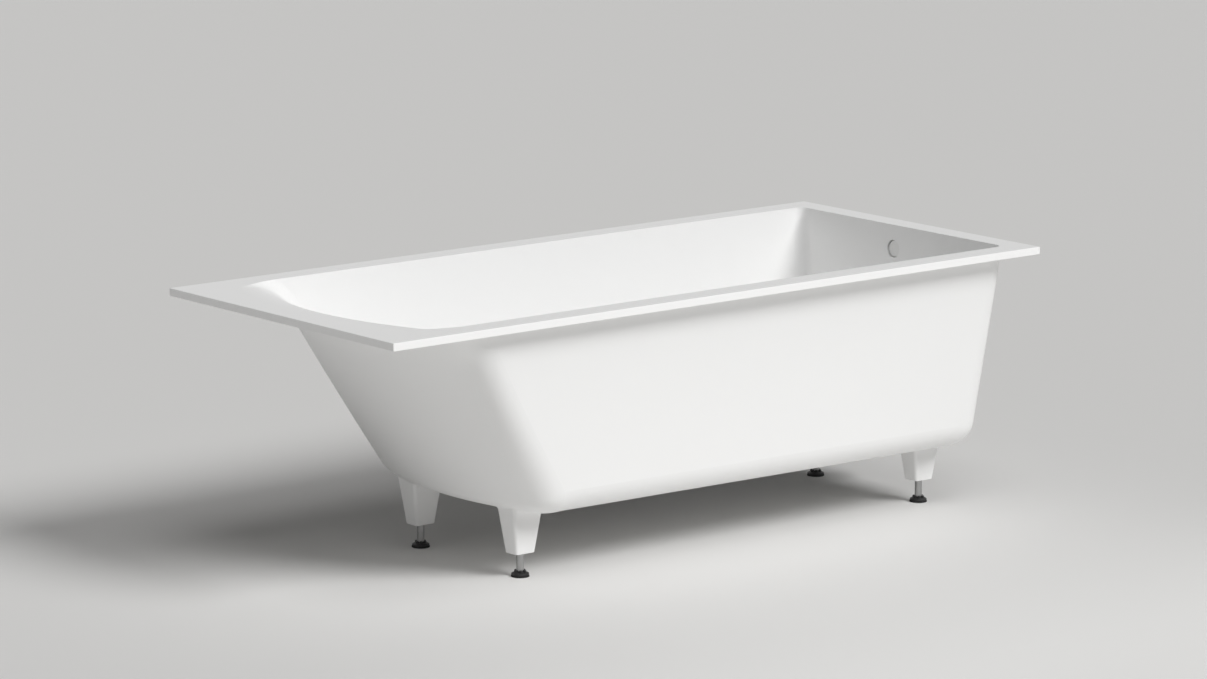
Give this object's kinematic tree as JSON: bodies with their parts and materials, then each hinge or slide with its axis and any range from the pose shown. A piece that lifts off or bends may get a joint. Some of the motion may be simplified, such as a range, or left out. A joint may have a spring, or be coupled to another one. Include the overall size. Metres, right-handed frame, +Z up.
{
  "type": "built-in bathtub",
  "caption": "Rectangular built-in bathtub with a flat rim, a sloping backrest, moulded legs on levelling feet, an overflow and a push plug drain.",
  "frame": {"origin": "on the floor under the middle of the rim", "axes": "+X to the foot end with the drain, +Y to the far side in the picture, +Z up"},
  "size_m": [1.8, 0.8, 0.6],
  "materials": {
    "cast_shell": "smooth satin white cast mineral",
    "insert_steel": "plain turned steel",
    "stud_steel": "zinc plated",
    "black_plastic": "fine matt moulding",
    "sole_rubber": "matt",
    "cover_plastic": "satin",
    "fitting_plastic": "fine satin moulding",
    "nut_plastic": "fine matt moulding",
    "pipe_plastic": "extruded, satin",
    "seal_rubber": "matt",
    "drain_chrome": "polished",
    "stem_brass": "turned",
    "cartridge_plastic": "fine satin moulding",
    "fixing_steel": "stainless"
  },
  "bodies": {
    "bath": {"drain_flange": "drain_chrome", "drain_seal_lower": "seal_rubber", "drain_seal_upper": "seal_rubber", "leg_insert_foot_far": "insert_steel", "leg_insert_foot_near": "insert_steel", "leg_insert_head_far": "insert_steel", "leg_insert_head_near": "insert_steel", "outlet_nut": "nut_plastic", "outlet_pipe": "pipe_plastic", "outlet_washer": "seal_rubber", "overflow_bush": "fitting_plastic", "overflow_cover": "cover_plastic", "overflow_elbow": "fitting_plastic", "overflow_pipe": "pipe_plastic", "overflow_screw": "fixing_steel", "overflow_seal": "seal_rubber", "pipe_nut_lower": "nut_plastic", "pipe_nut_upper": "nut_plastic", "pipe_washer_lower": "seal_rubber", "pipe_washer_upper": "seal_rubber", "plug_cartridge": "cartridge_plastic", "plug_spring": "fixing_steel", "tub_shell": "cast_shell", "waste_body": "fitting_plastic"},
    "plug": {"plug_cap": "drain_chrome", "plug_seal": "seal_rubber", "plug_stem": "stem_brass"},
    "foot_head_near": {"foot_pad_head_near": "black_plastic", "foot_sole_head_near": "sole_rubber"},
    "stud_head_near": {"levelling_stud_head_near": "stud_steel", "star_collar_head_near": "black_plastic"},
    "foot_head_far": {"foot_pad_head_far": "black_plastic", "foot_sole_head_far": "sole_rubber"},
    "stud_head_far": {"levelling_stud_head_far": "stud_steel", "star_collar_head_far": "black_plastic"},
    "foot_foot_near": {"foot_pad_foot_near": "black_plastic", "foot_sole_foot_near": "sole_rubber"},
    "stud_foot_near": {"levelling_stud_foot_near": "stud_steel", "star_collar_foot_near": "black_plastic"},
    "foot_foot_far": {"foot_pad_foot_far": "black_plastic", "foot_sole_foot_far": "sole_rubber"},
    "stud_foot_far": {"levelling_stud_foot_far": "stud_steel", "star_collar_foot_far": "black_plastic"}
  },
  "joints": [
    {"name": "foot_travel_head_near", "type": "slide", "parent": "bath", "child": "foot_head_near", "axis": [0, 0, 1], "range_m": [-0.02, 0.025]},
    {"name": "stud_turn_head_near", "type": "hinge", "parent": "foot_head_near", "child": "stud_head_near", "pos_m": [-0.40202, -0.176, 0.05], "axis": [0, 0, 1], "range_deg": [-3600, 4500]},
    {"name": "foot_travel_head_far", "type": "slide", "parent": "bath", "child": "foot_head_far", "axis": [0, 0, 1], "range_m": [-0.02, 0.025]},
    {"name": "stud_turn_head_far", "type": "hinge", "parent": "foot_head_far", "child": "stud_head_far", "pos_m": [-0.40202, 0.176, 0.05], "axis": [0, 0, 1], "range_deg": [-3600, 4500]},
    {"name": "foot_travel_foot_near", "type": "slide", "parent": "bath", "child": "foot_foot_near", "axis": [0, 0, 1], "range_m": [-0.02, 0.025]},
    {"name": "stud_turn_foot_near", "type": "hinge", "parent": "foot_foot_near", "child": "stud_foot_near", "pos_m": [0.746, -0.176, 0.05], "axis": [0, 0, 1], "range_deg": [-3600, 4500]},
    {"name": "foot_travel_foot_far", "type": "slide", "parent": "bath", "child": "foot_foot_far", "axis": [0, 0, 1], "range_m": [-0.02, 0.025]},
    {"name": "stud_turn_foot_far", "type": "hinge", "parent": "foot_foot_far", "child": "stud_foot_far", "pos_m": [0.746, 0.176, 0.05], "axis": [0, 0, 1], "range_deg": [-3600, 4500]},
    {"name": "plug_lift", "type": "slide", "parent": "bath", "child": "plug", "axis": [0, 0, 1], "range_m": [0, 0.009], "deforming": ["plug_spring"]}
  ],
  "couplings": [
    {"joint": "stud_turn_head_near", "follows": "foot_travel_head_near", "rad_per_m": 3141.6},
    {"joint": "stud_turn_head_far", "follows": "foot_travel_head_far", "rad_per_m": 3141.6},
    {"joint": "stud_turn_foot_near", "follows": "foot_travel_foot_near", "rad_per_m": 3141.6},
    {"joint": "stud_turn_foot_far", "follows": "foot_travel_foot_far", "rad_per_m": 3141.6}
  ]
}
